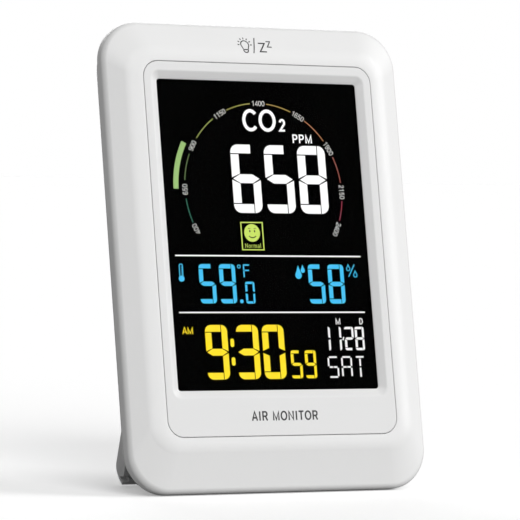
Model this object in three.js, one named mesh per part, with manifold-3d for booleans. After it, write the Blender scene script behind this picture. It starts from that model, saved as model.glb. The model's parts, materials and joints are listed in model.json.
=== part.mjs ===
/**
 * Desktop carbon dioxide monitor: a white moulded case that leans back on a fold-out stand, with a
 * colour segment display behind a square window, keys and vents on the back, and a gas sensor inside.
 *
 * Millimetres, +Z up. The case is designed upright in its own frame: X to the right of the display,
 * Y back into the case from the plane of the display surround, Z up the face from the middle of the
 * surround. The case frame is then leaned back, so that the case's lower edge and the stand's pads
 * touch Z = 0, and the whole is centred over the origin.
 */
import * as THREE from 'three';
import { mergeVertices } from 'three/addons/utils/BufferGeometryUtils.js';
import Module from 'manifold-3d';

const wasm = await Module();
wasm.setup();

const degrees = THREE.MathUtils.degToRad;

// Stance.
const LEAN = degrees(12);
const STAND_OPENING = degrees(28.5);

// Case.
const CASE = { half: 53.2, bottom: -77.1, top: 73.2, corner: 13 };
const FRONT_REAR_Y = 8.1;
const BACK_Y = 22;
const WALL = 2;
const GAP = 0.3;
const REAR_STEP = 1.6;
const REAR_CURVE = { side: 12, bottom: 6 };

// Display.
const SURROUND = { half: 41.2, bottom: -60, top: 60, corner: 5.5 };
const WINDOW = { half: 36, bottom: -45.2, top: 54.4, corner: 1 };
const CHAMFER = 2.8;
const PANEL = { half: 37.3, bottom: -48.7, top: 55.7, corner: 1 };
const PANEL_POCKET = { half: 37.6, bottom: -49, top: 56, corner: 1.3 };
const GUIDE = { half: 35.4, bottom: -45, top: 55.4, corner: 1, shift: -1.6 };
const LAYERS = { lens: [1.55, 2.15], panel: [2.45, 4.45], guide: [4.75, 6.75], tray: [4.1, 8.25] };
const CONTACTS = { half: 30, zs: [-48.4, -45.6] };

// The flat ring round the surround, and the sloping faces and round edge outside it.
const EDGE = { ring: 3.5, fall: 3.5, radius: 2.3 };
const MARGIN = {
  side: CASE.half - SURROUND.half,
  top: CASE.top - SURROUND.top,
  bottom: SURROUND.bottom - CASE.bottom,
};

// Boards and fasteners.
const BOARD = { half: 40, bottom: -72.5, top: 69, corner: 4, y0: 8.55, y1: 10.15 };
const BOARD_REAR = BOARD.y1 + GAP;
const BOARD_SCREWS = [[-30, 66.5], [30, 66.5], [-30, -69], [30, -69]];
const CASE_SCREWS = [[-46.6, 50], [46.6, 50], [-46.6, -50], [46.6, -50]];
const CASE_SCREW = { headY: 13.2, tipY: 5.6, radius: 1, head: 2.3, headHeight: 1.6 };
const BOARD_SCREW = { headY: BOARD_REAR, tipY: 5.2, radius: 1, head: 2.2, headHeight: 1.3 };
const PILOT_DEPTH = 0.4;

// Back of the case.
const KEYS = { names: ['power', 'set', 'up', 'down'], pitch: 18, z: 50, half: 6, radius: 3.2 };
const VENTS = { rows: 6, pitch: 4, z: 22, inner: 12, outer: 38, height: 1.8 };
const KEYHOLE = { z: 29, entry: 4.4, slot: 2.2, rise: 9 };
const USB = { x: 34, z: -6.4, half: 4.5, height: 3.2 };

// Stand, folded, in the case's frame.
const HINGE = { y: 19.2, z: -24.8 };
const STAND = { half: 39, face: BACK_Y - 0.2, skin: 2, cheek: 2.2, rim: 15.4, above: 3.9 };
const STOP_EDGE = { y: 16.54, depth: 2.4 };
const POCKET = { half: STAND.half + 0.4, floor: 14.7, top: HINGE.z + 5 };
const PIN = { radius: 1, inner: 37.2, outer: 40.8 };
const PAD = { width: 12, x: 27, depth: 1.5, height: 1, setback: 0.3, lift: 0.3 };

const material = (color, roughness, metalness = 0) =>
  new THREE.MeshStandardMaterial({ color, roughness, metalness });
const MATERIALS = {
  case: material(0xf1f1ef, 0.5),
  bezel: material(0xe9e9e8, 0.5),
  lens: material(0x060708, 0.08),
  glass: material(0x10130f, 0.15),
  holder: material(0xdddcd6, 0.6),
  guide: material(0xf2f5f7, 0.3),
  board: material(0x1f5b3a, 0.5),
  chip: material(0x1a1a1c, 0.5),
  steel: material(0xb9bcc0, 0.35, 1),
  brass: material(0xc9a24a, 0.4, 1),
  rubber: material(0x3a3b3d, 0.9),
  cell: material(0x9aa3ad, 0.45),
  membrane: material(0xf7f7f4, 0.9),
  nylon: material(0xeae6d8, 0.6),
};

// Solids.

/** A THREE geometry as a closed manifold solid, with its faces pointing out. */
function solid(geometry) {
  const bare = geometry.clone();
  bare.deleteAttribute('normal');
  bare.deleteAttribute('uv');
  const merged = mergeVertices(bare, 1e-4);
  const vertices = merged.attributes.position.array;
  const corners = Array.from(merged.index.array);
  const triangles = [];
  let volume = 0;
  for (let i = 0; i < corners.length; i += 3) {
    const [a, b, c] = corners.slice(i, i + 3);
    if (a === b || b === c || c === a) continue;
    triangles.push(a, b, c);
    const [p, q, r] = [a, b, c].map((k) => new THREE.Vector3().fromArray(vertices, 3 * k));
    volume += p.dot(q.cross(r));
  }
  if (volume < 0) triangles.reverse();
  const mesh = new wasm.Mesh({
    numProp: 3,
    vertProperties: new Float32Array(vertices),
    triVerts: new Uint32Array(triangles),
  });
  return new wasm.Manifold(mesh);
}

/** The solid as a THREE geometry. */
function geometryOf(body) {
  const mesh = body.getMesh();
  const geometry = new THREE.BufferGeometry();
  geometry.setAttribute('position', new THREE.BufferAttribute(mesh.vertProperties, 3));
  geometry.setIndex(new THREE.BufferAttribute(mesh.triVerts, 1));
  geometry.computeVertexNormals();
  return geometry;
}

const joined = (...bodies) => bodies.reduce((sum, body) => sum.add(body));
const cut = (body, ...tools) => tools.reduce((rest, tool) => rest.subtract(tool), body);

/** A box from its low and high limits along each axis. */
function block([x0, x1], [y0, y1], [z0, z1]) {
  const box = new THREE.BoxGeometry(x1 - x0, y1 - y0, z1 - z0);
  box.translate((x0 + x1) / 2, (y0 + y1) / 2, (z0 + z1) / 2);
  return solid(box);
}

/** A round bar along Y. */
function rodY(radius, [y0, y1], [x, z], sides = 16) {
  const bar = new THREE.CylinderGeometry(radius, radius, y1 - y0, sides);
  return solid(bar.translate(x, (y0 + y1) / 2, z));
}

/** A round bar along X. */
function rodX(radius, [x0, x1], [y, z], sides = 16) {
  const bar = new THREE.CylinderGeometry(radius, radius, x1 - x0, sides);
  return solid(bar.rotateZ(Math.PI / 2).translate((x0 + x1) / 2, y, z));
}

/** A [y, z] outline pushed along X from x0 to x1. */
function sideProfile(points, [x0, x1]) {
  const shape = new THREE.Shape(points.map(([y, z]) => new THREE.Vector2(y, z)));
  const bar = new THREE.ExtrudeGeometry(shape, { depth: x1 - x0, bevelEnabled: false });
  const axes = new THREE.Matrix4().makeBasis(
    new THREE.Vector3(0, 1, 0),
    new THREE.Vector3(0, 0, 1),
    new THREE.Vector3(1, 0, 0),
  );
  return solid(bar.applyMatrix4(axes).translate(x0, 0, 0));
}

/** The points of a rectangle with round corners at depth y, always the same count. */
function outline({ half, bottom, top, corner }, y, steps = 5) {
  const centres = [
    [half - corner, top - corner],
    [corner - half, top - corner],
    [corner - half, bottom + corner],
    [half - corner, bottom + corner],
  ];
  return centres.flatMap(([x, z], quarter) =>
    Array.from({ length: steps + 1 }, (_, i) => {
      const angle = (quarter + i / steps) * (Math.PI / 2);
      return [x + corner * Math.cos(angle), y, z + corner * Math.sin(angle)];
    }));
}

/** Outlines joined in order: capped at both ends, or round into a frame when `ring` is set. */
function loft(outlines, ring = false) {
  const count = outlines[0].length;
  const faces = [];
  const bands = ring ? outlines.length : outlines.length - 1;
  for (let band = 0; band < bands; band += 1) {
    const next = (band + 1) % outlines.length;
    for (let i = 0; i < count; i += 1) {
      const j = (i + 1) % count;
      const [a, b, c, d] = [band * count + i, band * count + j, next * count + j, next * count + i];
      faces.push(a, c, b, a, d, c);
    }
  }
  if (!ring) {
    const last = (outlines.length - 1) * count;
    for (let i = 1; i < count - 1; i += 1) {
      faces.push(0, i, i + 1, last, last + i + 1, last + i);
    }
  }
  const geometry = new THREE.BufferGeometry();
  geometry.setAttribute('position', new THREE.Float32BufferAttribute(outlines.flat(2), 3));
  geometry.setIndex(faces);
  return solid(geometry);
}

/** A rectangle grown by `by` on every side, its corners with it. */
const grown = ({ half, bottom, top, corner }, by) => ({
  half: half + by,
  bottom: bottom - by,
  top: top + by,
  corner: Math.max(corner + by, 0.4),
});

/** A flat slab with a round-cornered outline. */
const slab = (rectangle, [y0, y1], steps = 2) =>
  loft([outline(rectangle, y0, steps), outline(rectangle, y1, steps)]);

/** A self-tapping screw along Y, its head at the rear, on the point [x, z]. */
function screw({ headY, tipY, radius, head, headHeight }, [x, z]) {
  const profile = [
    [0, tipY],
    [radius * 0.6, tipY + 0.8],
    [radius, tipY + 1.6],
    [radius, headY],
    [head, headY],
    [head, headY + headHeight * 0.6],
    [head * 0.6, headY + headHeight],
    [0, headY + headHeight],
  ];
  const points = profile.map(([r, y]) => new THREE.Vector2(r, y));
  const turned = solid(new THREE.LatheGeometry(points, 12).translate(x, 0, z));
  const slotYs = [headY + headHeight * 0.5, headY + 5];
  const slot = block([x - head, x + head], slotYs, [z - 0.3, z + 0.3]);
  return cut(turned, slot);
}

// Case shells.

/** The case outline drawn in from its sides, top and bottom by its own amount each. */
const inset = (side, top, bottom, corner) => ({
  half: CASE.half - side,
  bottom: CASE.bottom + bottom,
  top: CASE.top - top,
  corner,
});

/** The angle of the sloping face across a margin of that width. */
function slopeAngle(margin) {
  let slope = 0;
  for (let pass = 0; pass < 10; pass += 1) {
    const run = margin - EDGE.ring - EDGE.radius * (1 - Math.sin(slope));
    slope = Math.atan(EDGE.fall / run);
  }
  return slope;
}

/** How far the round edge lies inside the side wall at depth y. */
function edgeInset(margin, y) {
  const cosine = Math.max(Math.cos(slopeAngle(margin)) - (y - EDGE.fall) / EDGE.radius, 0);
  return EDGE.radius * (1 - Math.sqrt(1 - cosine * cosine));
}

/** The outline of the front frame's round edge at depth y. */
function edgeOutline(y) {
  const [side, top, bottom] = [MARGIN.side, MARGIN.top, MARGIN.bottom].map((m) => edgeInset(m, y));
  return outline(inset(side, top, bottom, CASE.corner - side), y);
}

/** White front frame: flat ring, sloping faces, rounded edge, short side wall, screw bosses. */
function frontShell() {
  const frame = loft([
    outline(SURROUND, 0.25),
    outline(grown(SURROUND, 0.25), 0),
    outline(grown(SURROUND, EDGE.ring), 0),
    ...[EDGE.fall, 4.1, 4.8].map(edgeOutline),
    outline(CASE, 5.7),
    outline(CASE, FRONT_REAR_Y),
    outline(grown(CASE, -WALL), FRONT_REAR_Y),
    outline(grown(CASE, -WALL), 5.9),
    outline(inset(3.4, 3.5, 4.2, 10), 5.2),
    outline(grown(SURROUND, 3), WALL),
    outline(SURROUND, WALL),
  ], true);
  const bossEnd = FRONT_REAR_Y - 0.2;
  const caseBosses = CASE_SCREWS.map(([x, z]) => {
    const xs = [x, x + Math.sign(x) * 5.2].sort((a, b) => a - b);
    return joined(rodY(2.4, [2.6, bossEnd], [x, z], 12), block(xs, [5.6, bossEnd], [z - 1, z + 1]));
  });
  const boardBosses = BOARD_SCREWS.map((at) => rodY(2.6, [2.5, BOARD.y0 - GAP], at, 12));
  const pilots = [
    ...CASE_SCREWS.map((at) => rodY(1.3, [CASE_SCREW.tipY - PILOT_DEPTH, 10], at, 8)),
    ...BOARD_SCREWS.map((at) => rodY(1.3, [BOARD_SCREW.tipY - PILOT_DEPTH, 10], at, 8)),
  ];
  return cut(joined(frame, ...caseBosses, ...boardBosses), ...pilots);
}

/** One outline of the rear shell at a turn of 0 to 90 degrees round its curved edge. */
function rearOutline(turn, inward) {
  const across = 1 - Math.cos(turn);
  const side = REAR_STEP + inward + (REAR_CURVE.side - inward) * across;
  const bottom = REAR_STEP + inward + (REAR_CURVE.bottom - inward) * across;
  const depth = BACK_Y - inward - FRONT_REAR_Y - GAP;
  const y = FRONT_REAR_Y + GAP + depth * Math.sin(turn);
  return outline(inset(side, side, bottom, Math.max(CASE.corner - side * 0.45, 3)), y);
}

const TURNS = Array.from({ length: 10 }, (_, i) => degrees(10 * i));

/** The depths of a cutter that passes through the back wall only. */
const THROUGH_BACK = [BACK_Y - 4, BACK_Y + 1];

/** The rows of vent slots on one side of the back, as cutting blocks. */
const ventSlots = (side) =>
  Array.from({ length: VENTS.rows }, (_, row) => {
    const z = VENTS.z + row * VENTS.pitch;
    const xs = side > 0 ? [VENTS.inner, VENTS.outer] : [-VENTS.outer, -VENTS.inner];
    return block(xs, THROUGH_BACK, [z - VENTS.height / 2, z + VENTS.height / 2]);
  });

const keyX = (index) => (index - (KEYS.names.length - 1) / 2) * KEYS.pitch;

/** A rectangle with fully round ends about [x, z]. */
const pill = (x, z, half, radius) => ({ x, z, half, bottom: -radius, top: radius, corner: radius });

/** A slab of a pill's outline. */
const pillSlab = ({ x, z, ...rectangle }, ys) => slab(rectangle, ys, 4).translate([x, 0, z]);

/** White rear shell: curved edges, stand pocket, hinge holes, vents, key and socket openings. */
function rearShell() {
  const outer = loft(TURNS.map((turn) => rearOutline(turn, 0)));
  const cavityRings = TURNS.map((turn) => rearOutline(turn, WALL));
  const mouth = cavityRings[0].map(([x, , z]) => [x, FRONT_REAR_Y - 1, z]);
  const cavity = loft([mouth, ...cavityRings]);
  const pocketWalls = block(
    [-POCKET.half - WALL, POCKET.half + WALL],
    [POCKET.floor - WALL, BACK_Y],
    [CASE.bottom, POCKET.top + WALL],
  ).intersect(outer);
  const pocket = block(
    [-POCKET.half, POCKET.half],
    [POCKET.floor, BACK_Y + 5],
    [CASE.bottom - 5, POCKET.top],
  );
  const bosses = CASE_SCREWS.map((at) =>
    rodY(3.2, [FRONT_REAR_Y + GAP, BACK_Y], at, 12).intersect(outer));
  const screwHoles = CASE_SCREWS.flatMap((at) => [
    rodY(1.5, [0, BACK_Y], at, 8),
    rodY(2.7, [CASE_SCREW.headY - GAP, BACK_Y + 1], at, 12),
  ]);
  const hingeReach = PIN.outer + GAP;
  const hingeHole = rodX(PIN.radius + GAP, [-hingeReach, hingeReach], [HINGE.y, HINGE.z], 12);
  const keyHoles = KEYS.names.map((_, i) =>
    pillSlab(pill(keyX(i), KEYS.z, KEYS.half + GAP, KEYS.radius + GAP), THROUGH_BACK));
  const keyhole = [
    rodY(KEYHOLE.entry, THROUGH_BACK, [0, KEYHOLE.z]),
    rodY(KEYHOLE.slot, THROUGH_BACK, [0, KEYHOLE.z + KEYHOLE.rise]),
    block([-KEYHOLE.slot, KEYHOLE.slot], THROUGH_BACK, [KEYHOLE.z, KEYHOLE.z + KEYHOLE.rise]),
  ];
  const socketHole = pillSlab(
    pill(USB.x, USB.z, USB.half + 0.5, USB.height / 2 + 0.5),
    THROUGH_BACK,
  );
  const hollow = joined(cut(outer, cavity), pocketWalls, ...bosses);
  return cut(hollow, pocket, ...screwHoles, hingeHole, ...keyHoles, ...keyhole, socketHole,
    ...ventSlots(-1), ...ventSlots(1));
}

// Display stack.

/** White window frame that fills the surround, with a chamfer down to the display. */
const displayBezel = () => loft([
  outline(WINDOW, 1.25),
  outline(grown(WINDOW, CHAMFER), 0),
  outline(grown(SURROUND, -GAP), 0),
  outline(grown(SURROUND, -GAP), WALL + GAP),
  outline(grown(SURROUND, 2.5), WALL + GAP),
  outline(grown(SURROUND, 2.5), 3.8),
  outline(PANEL_POCKET, 3.8),
  outline(PANEL_POCKET, 1.25),
], true);

const displayLens = () => slab(PANEL, LAYERS.lens);
const lcdPanel = () => slab(PANEL, LAYERS.panel);
const lightGuide = () => slab(GUIDE, LAYERS.guide).translate([GUIDE.shift, 0, 0]);
const ledStrip = () => block([34.2, 37.2], LAYERS.guide, [-42, 52]);
const contactStrip = () =>
  block([-CONTACTS.half, CONTACTS.half], [LAYERS.guide[0], LAYERS.tray[1]], CONTACTS.zs);

/** Tray that holds the display stack, open at the front, with a slot for the contact strip. */
function lcdHolder() {
  const tray = slab(grown(PANEL_POCKET, 1.6), LAYERS.tray);
  const [low, high] = CONTACTS.zs;
  const slot = block([-CONTACTS.half - 0.4, CONTACTS.half + 0.4], [6, 9], [low - GAP, high + GAP]);
  return cut(tray, slab(PANEL_POCKET, [3, LAYERS.guide[1] + GAP]), slot);
}

// Boards and what is on them.

/** Circuit board on four screws, with an L-shaped slot that keeps heat from the humidity sensor. */
function mainBoard() {
  const board = slab(BOARD, [BOARD.y0, BOARD.y1]);
  const through = [BOARD.y0 - 1, BOARD.y1 + 1];
  const holes = BOARD_SCREWS.map((at) => rodY(1.5, through, at, 10));
  const sensorSlots = [
    block([28, 37], through, [28.2, 29.4]),
    block([28, 29.2], through, [28.2, 37]),
  ];
  return cut(board, ...holes, ...sensorSlots);
}

/** The depths of a part on the board, from `low` to `high` above its rear face. */
const onBoard = (high, low = 0) => [BOARD_REAR + low, BOARD_REAR + high];

const gasSensor = () => joined(
  block([-39, -6], onBoard(1.4), [22, 42]),
  block([-37.5, -9], onBoard(8, 1), [23, 41]),
);
const sensorFilter = () => block([-33, -15], onBoard(8.8, 8 + GAP), [27, 37]);
const humiditySensor = () => block([31.5, 34.5], onBoard(1.1), [32, 35]);
const buzzer = () => rodY(4.7, onBoard(6), [18, 34], 20);
const controllerChip = () => block([-5, 5], onBoard(1.2), [-45, -35]);
const batteryCell = () => slab({ half: 25, bottom: -14.5, top: 17.5, corner: 1.5 }, onBoard(5), 3);
const batteryConnector = () => cut(
  block([30, 36], onBoard(5), [8, 12.5]),
  block([30.8, 35.2], onBoard(6, 2), [8.8, 13]),
);

/** Flat two-wire lead from the cell's edge into its connector. */
function batteryLead() {
  const y = BOARD_REAR + 2.6;
  const path = new THREE.CatmullRomCurve3([
    new THREE.Vector3(25.3, y, 14),
    new THREE.Vector3(28, y + 0.6, 14.6),
    new THREE.Vector3(31, y + 2.6, 15),
    new THREE.Vector3(33, y + 2.2, 12.8),
    new THREE.Vector3(33, y + 1.2, 11),
  ]);
  const section = new THREE.Shape(Array.from({ length: 8 }, (_, i) => {
    const angle = (i / 8) * 2 * Math.PI;
    return new THREE.Vector2(0.6 * Math.cos(angle), 0.9 * Math.sin(angle));
  }));
  const lead = { steps: 10, bevelEnabled: false, extrudePath: path };
  return solid(new THREE.ExtrudeGeometry(section, lead));
}

/** Upright charging socket with its mouth at the back of the case. */
function usbSocket() {
  const mouthY = BACK_Y - 0.4;
  const wall = 0.35;
  const radius = USB.height / 2;
  const shell = pillSlab(pill(USB.x, USB.z, USB.half, radius), [BOARD_REAR, mouthY]);
  const mouth = pillSlab(pill(USB.x, USB.z, USB.half - wall, radius - wall), [mouthY - 6, mouthY + 1]);
  const tongue = block(
    [USB.x - 3.3, USB.x + 3.3],
    [mouthY - 6.5, mouthY - 0.8],
    [USB.z - wall, USB.z + wall],
  );
  return joined(cut(shell, mouth), tongue);
}

/** Touch electrode: a disc behind the front frame's top edge on a post from the board. */
const touchElectrode = () => joined(
  rodY(2.3, [4.8, 5.3], [0, 65.5]),
  rodY(0.8, [5.1, BOARD.y0 - GAP], [0, 65.5], 10),
);

const tactSwitch = (x) => joined(
  block([x - 3, x + 3], onBoard(3.5), [KEYS.z - 3, KEYS.z + 3]),
  rodY(1.7, onBoard(4.4, 3), [x, KEYS.z], 12),
);

/** Rear key: a pill-shaped cap, a flange that keeps it in the shell, and a stem to its switch. */
function rearKey(x) {
  const flange = pill(x, KEYS.z, KEYS.half + 1.2, KEYS.radius + 1.2);
  return joined(
    pillSlab(pill(x, KEYS.z, KEYS.half, KEYS.radius), [BACK_Y - 3, BACK_Y + 0.5]),
    pillSlab(flange, [BACK_Y - 3.3, BACK_Y - WALL - GAP]),
    rodY(1.6, [BOARD_REAR + 5.2, BACK_Y - 2.8], [x, KEYS.z], 12),
  );
}

// Stand, in a frame centred on its hinge with the stand folded.

/** The stand's lower curve from the back face to its rim, drawn `inward` of the outer skin. */
function standCurve(inward) {
  const depth = STAND.face - inward - FRONT_REAR_Y - GAP;
  const rimTurn = Math.asin((STAND.rim - FRONT_REAR_Y - GAP) / depth);
  const steps = 5;
  const rise = REAR_CURVE.bottom - inward;
  return Array.from({ length: steps + 1 }, (_, i) => {
    const turn = Math.PI / 2 + (rimTurn - Math.PI / 2) * (i / steps);
    return [
      FRONT_REAR_Y + GAP + depth * Math.sin(turn) - HINGE.y,
      CASE.bottom + REAR_STEP + 0.2 + inward + rise * (1 - Math.cos(turn)) - HINGE.z,
    ];
  });
}

// Side cuts through both cheeks from their rim: one just above the lip and a small one above it.
const CHEEK_CUTS = [
  [[-1.2, -47.6], [-5, -46.2], [-5, -48.6], [-1.8, -48.2]],
  [[-1.6, -41.4], [-5, -40.9], [-5, -43]],
];

/** White flip-out stand: a tray with side cheeks, a lip that rests down, and a stop edge above. */
function flipStand() {
  const face = STAND.face - HINGE.y;
  const rim = STAND.rim - HINGE.y;
  const stopY = STOP_EDGE.y - HINGE.y;
  const skin = sideProfile([
    [face, STAND.above],
    ...standCurve(0),
    ...standCurve(STAND.skin).reverse(),
    [face - STAND.skin, STAND.above],
  ], [-STAND.half, STAND.half]);
  const cheekOutline = [[face, STAND.above], ...standCurve(0), [rim, 1.4], [stopY, STAND.above]];
  const sides = [[-STAND.half, STAND.cheek - STAND.half], [STAND.half - STAND.cheek, STAND.half]];
  const cheeks = sides.map((xs) => sideProfile(cheekOutline, xs));
  const stopBar = block(
    [-STAND.half, STAND.half],
    [stopY, face],
    [STAND.above - STOP_EDGE.depth, STAND.above],
  );
  const pinHole = rodX(PIN.radius + GAP, [-STAND.half - 1, STAND.half + 1], [0, 0], 12);
  const cheekCuts = CHEEK_CUTS.flatMap((points) => sides.map((xs) => sideProfile(points, xs)));
  return cut(joined(skin, ...cheeks, stopBar), pinHole, ...cheekCuts);
}

// Assembly.

const object = new THREE.Group();
const caseFrame = new THREE.Group();
caseFrame.rotation.x = -LEAN;
caseFrame.position.z = -CASE.bottom * Math.cos(LEAN) + FRONT_REAR_Y * Math.sin(LEAN);
const standFrame = new THREE.Group();
standFrame.position.set(0, HINGE.y, HINGE.z);
standFrame.rotation.x = STAND_OPENING;
caseFrame.add(standFrame);
object.add(caseFrame);

function place(parent, name, look, body) {
  const mesh = new THREE.Mesh(geometryOf(body), MATERIALS[look]);
  mesh.name = name;
  parent.add(mesh);
  return mesh;
}

place(caseFrame, 'front_shell', 'case', frontShell());
place(caseFrame, 'rear_shell', 'case', rearShell());
place(caseFrame, 'display_bezel', 'bezel', displayBezel());
place(caseFrame, 'display_lens', 'lens', displayLens());
place(caseFrame, 'lcd_panel', 'glass', lcdPanel());
place(caseFrame, 'light_guide', 'guide', lightGuide());
place(caseFrame, 'backlight_led_strip', 'board', ledStrip());
place(caseFrame, 'lcd_contact_strip', 'rubber', contactStrip());
place(caseFrame, 'lcd_holder', 'holder', lcdHolder());
place(caseFrame, 'main_board', 'board', mainBoard());
place(caseFrame, 'gas_sensor', 'brass', gasSensor());
place(caseFrame, 'gas_sensor_filter', 'membrane', sensorFilter());
place(caseFrame, 'humidity_sensor', 'chip', humiditySensor());
place(caseFrame, 'buzzer', 'chip', buzzer());
place(caseFrame, 'controller_chip', 'chip', controllerChip());
place(caseFrame, 'battery_cell', 'cell', batteryCell());
place(caseFrame, 'battery_connector', 'nylon', batteryConnector());
place(caseFrame, 'battery_lead', 'rubber', batteryLead());
place(caseFrame, 'usb_socket', 'steel', usbSocket());
place(caseFrame, 'touch_electrode', 'brass', touchElectrode());

KEYS.names.forEach((name, i) => {
  place(caseFrame, `${name}_key`, 'case', rearKey(keyX(i)));
  place(caseFrame, `${name}_switch`, 'chip', tactSwitch(keyX(i)));
});

CASE_SCREWS.forEach((at, i) => {
  place(caseFrame, `case_screw_${i + 1}`, 'steel', screw(CASE_SCREW, at));
});
BOARD_SCREWS.forEach((at, i) => {
  place(caseFrame, `board_screw_${i + 1}`, 'steel', screw(BOARD_SCREW, at));
});

// The stand's underside is trimmed level just above the surface, and recessed for its two pads.
object.updateMatrixWorld(true);
const toStand = standFrame.matrixWorld.clone().invert();
const toePoint = new THREE.Vector3(0, ...standCurve(0).at(-1)).applyMatrix4(standFrame.matrixWorld);
const padFront = toePoint.y + PAD.setback;

/** A box level with the surface, in the stand's own frame. */
function levelBlock([x0, x1], [y0, y1], [z0, z1]) {
  const box = new THREE.BoxGeometry(x1 - x0, y1 - y0, z1 - z0);
  box.translate((x0 + x1) / 2, (y0 + y1) / 2, (z0 + z1) / 2);
  return solid(box.applyMatrix4(toStand));
}

const pads = [['left', -1], ['right', 1]].map(([name, side]) => ({
  name: `stand_pad_${name}`,
  xs: [side * PAD.x - PAD.width / 2, side * PAD.x + PAD.width / 2],
}));
const trims = [
  levelBlock([-STAND.half - 1, STAND.half + 1], [toePoint.y - 5, toePoint.y + 5], [-5, PAD.lift]),
  ...pads.map(({ xs: [x0, x1] }) => levelBlock(
    [x0 - GAP, x1 + GAP],
    [padFront - GAP, padFront + PAD.depth + GAP],
    [-5, PAD.height + GAP],
  )),
];
place(standFrame, 'flip_stand', 'case', cut(flipStand(), ...trims));
for (const { name, xs } of pads) {
  const pad = levelBlock(xs, [padFront, padFront + PAD.depth], [0, PAD.height]);
  place(standFrame, name, 'rubber', pad);
}
for (const [name, side] of [['left', -1], ['right', 1]]) {
  const ends = [side * PIN.inner, side * PIN.outer].sort((a, b) => a - b);
  place(standFrame, `hinge_pin_${name}`, 'steel', rodX(PIN.radius, ends, [0, 0]));
}

// Centre the whole over the origin.
object.updateMatrixWorld(true);
const extent = new THREE.Box3().setFromObject(object, true);
caseFrame.position.y -= (extent.min.y + extent.max.y) / 2;

export default object;
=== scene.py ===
"""The visual model of a desktop carbon dioxide monitor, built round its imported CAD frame.

Pieces are designed in millimetres in the case's own frame, as the CAD solids are: X to the right of
the display, Y back into the case from the plane of the display surround, Z up the face. CASE turns
that frame into the row's, in metres, and STAND does the same for the stand, whose frame is centred
on its hinge and is that of the folded stand.
"""
import json
import math

import bpy
import bmesh
from mathutils import Matrix, Vector


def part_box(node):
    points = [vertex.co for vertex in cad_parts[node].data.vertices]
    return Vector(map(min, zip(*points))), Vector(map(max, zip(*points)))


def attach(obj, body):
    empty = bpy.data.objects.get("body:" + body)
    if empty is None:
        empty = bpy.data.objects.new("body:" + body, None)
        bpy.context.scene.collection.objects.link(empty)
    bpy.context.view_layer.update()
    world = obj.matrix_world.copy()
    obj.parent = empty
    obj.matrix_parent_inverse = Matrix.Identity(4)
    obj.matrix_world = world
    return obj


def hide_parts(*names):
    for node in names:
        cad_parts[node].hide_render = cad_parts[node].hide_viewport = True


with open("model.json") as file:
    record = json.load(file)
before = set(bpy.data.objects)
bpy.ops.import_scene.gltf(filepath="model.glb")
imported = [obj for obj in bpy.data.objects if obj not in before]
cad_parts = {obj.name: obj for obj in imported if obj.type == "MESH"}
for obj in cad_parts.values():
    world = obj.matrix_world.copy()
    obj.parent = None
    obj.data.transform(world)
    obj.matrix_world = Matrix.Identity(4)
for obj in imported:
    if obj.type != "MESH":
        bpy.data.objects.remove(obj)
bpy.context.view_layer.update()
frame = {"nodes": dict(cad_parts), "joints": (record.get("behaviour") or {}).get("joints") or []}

MM = 0.001

# Case, as in the CAD model.
SURROUND = {"half": 41.2, "bottom": -60.0, "top": 60.0, "corner": 5.5}
EDGE = {"half": 53.2, "bottom": -77.1, "top": 73.2, "corner": 13.0}
MARGIN = {
    "side": EDGE["half"] - SURROUND["half"],
    "top": EDGE["top"] - SURROUND["top"],
    "bottom": SURROUND["bottom"] - EDGE["bottom"],
}
SEAM = 0.3
RING_WIDTH = 3.5
SLOPE_FALL = 3.5
SLOPE_SOFTNESS = 13.0
EDGE_RADIUS = 2.3
FRONT_REAR_Y = 8.1
BACK_Y = 22.0
WALL = 2.0
REAR_STEP = 1.6
REAR_CURVE = {"side": 12.0, "bottom": 6.0}
WINDOW = {"half": 36.0, "bottom": -45.2, "top": 54.4, "corner": 1.0}
LENS = {"half": 37.3, "bottom": -48.7, "top": 55.7, "corner": 1.0}
LENS_FRONT = 1.55
LENS_BACK = 2.15
CASE_SCREWS = [(-46.6, 50), (46.6, 50), (-46.6, -50), (46.6, -50)]
BOARD_SCREWS = [(-30, 66.5), (30, 66.5), (-30, -69), (30, -69)]
SCREWS = {
    "case": {"head_y": 13.2, "tip_y": 5.6, "head": 2.3, "height": 1.6},
    "board": {"head_y": 10.45, "tip_y": 5.2, "head": 2.2, "height": 1.3},
}
FRONT_BOSSES = [
    {"points": CASE_SCREWS, "radius": 2.4, "start": 2.6, "end": FRONT_REAR_Y - 0.2, "pilot_start": 5.2},
    {"points": BOARD_SCREWS, "radius": 2.6, "start": 2.5, "end": 8.25, "pilot_start": 4.8},
]
PILOT_RADIUS = 1.15
REAR_BOSS = {"radius": 3.2, "bore": 1.5, "counterbore": 2.7}
LIP = 0.3
KEY_XS = {"power": -27, "set": -9, "up": 9, "down": 27}
KEY = {"z": 50, "half": 6, "radius": 3.2}
VENTS = {"rows": 6, "pitch": 4, "z": 22, "x": 25, "half": 13, "radius": 0.9}
KEYHOLE = {"z": 29, "entry": 4.4, "slot": 2.2, "rise": 9}
USB = {"x": 34, "z": -6.4, "half": 4.5, "radius": 1.6, "mouth": 21.6}
HINGE = (19.2, -24.8)
STAND_OPENING = math.radians(28.5)
FLIP = {"half": 39, "face": 21.8, "skin": 2, "cheek": 2.2, "rim": 15.4, "stop": 16.54, "above": 3.9}
CHEEK_CUTS = [
    [(-1.2, -47.6), (-5, -46.2), (-5, -48.6), (-1.8, -48.2)],
    [(-1.6, -41.4), (-5, -40.9), (-5, -43)],
]
POCKET = {"half": 39.4, "floor": 14.7, "top": -19.8}
PIN = {"radius": 1.0, "inner": 37.2, "outer": 40.8}
PADS = ("stand_pad_left", "stand_pad_right")


def joint(name):
    return next(j for j in frame["joints"] if j["name"] == name)


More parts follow.
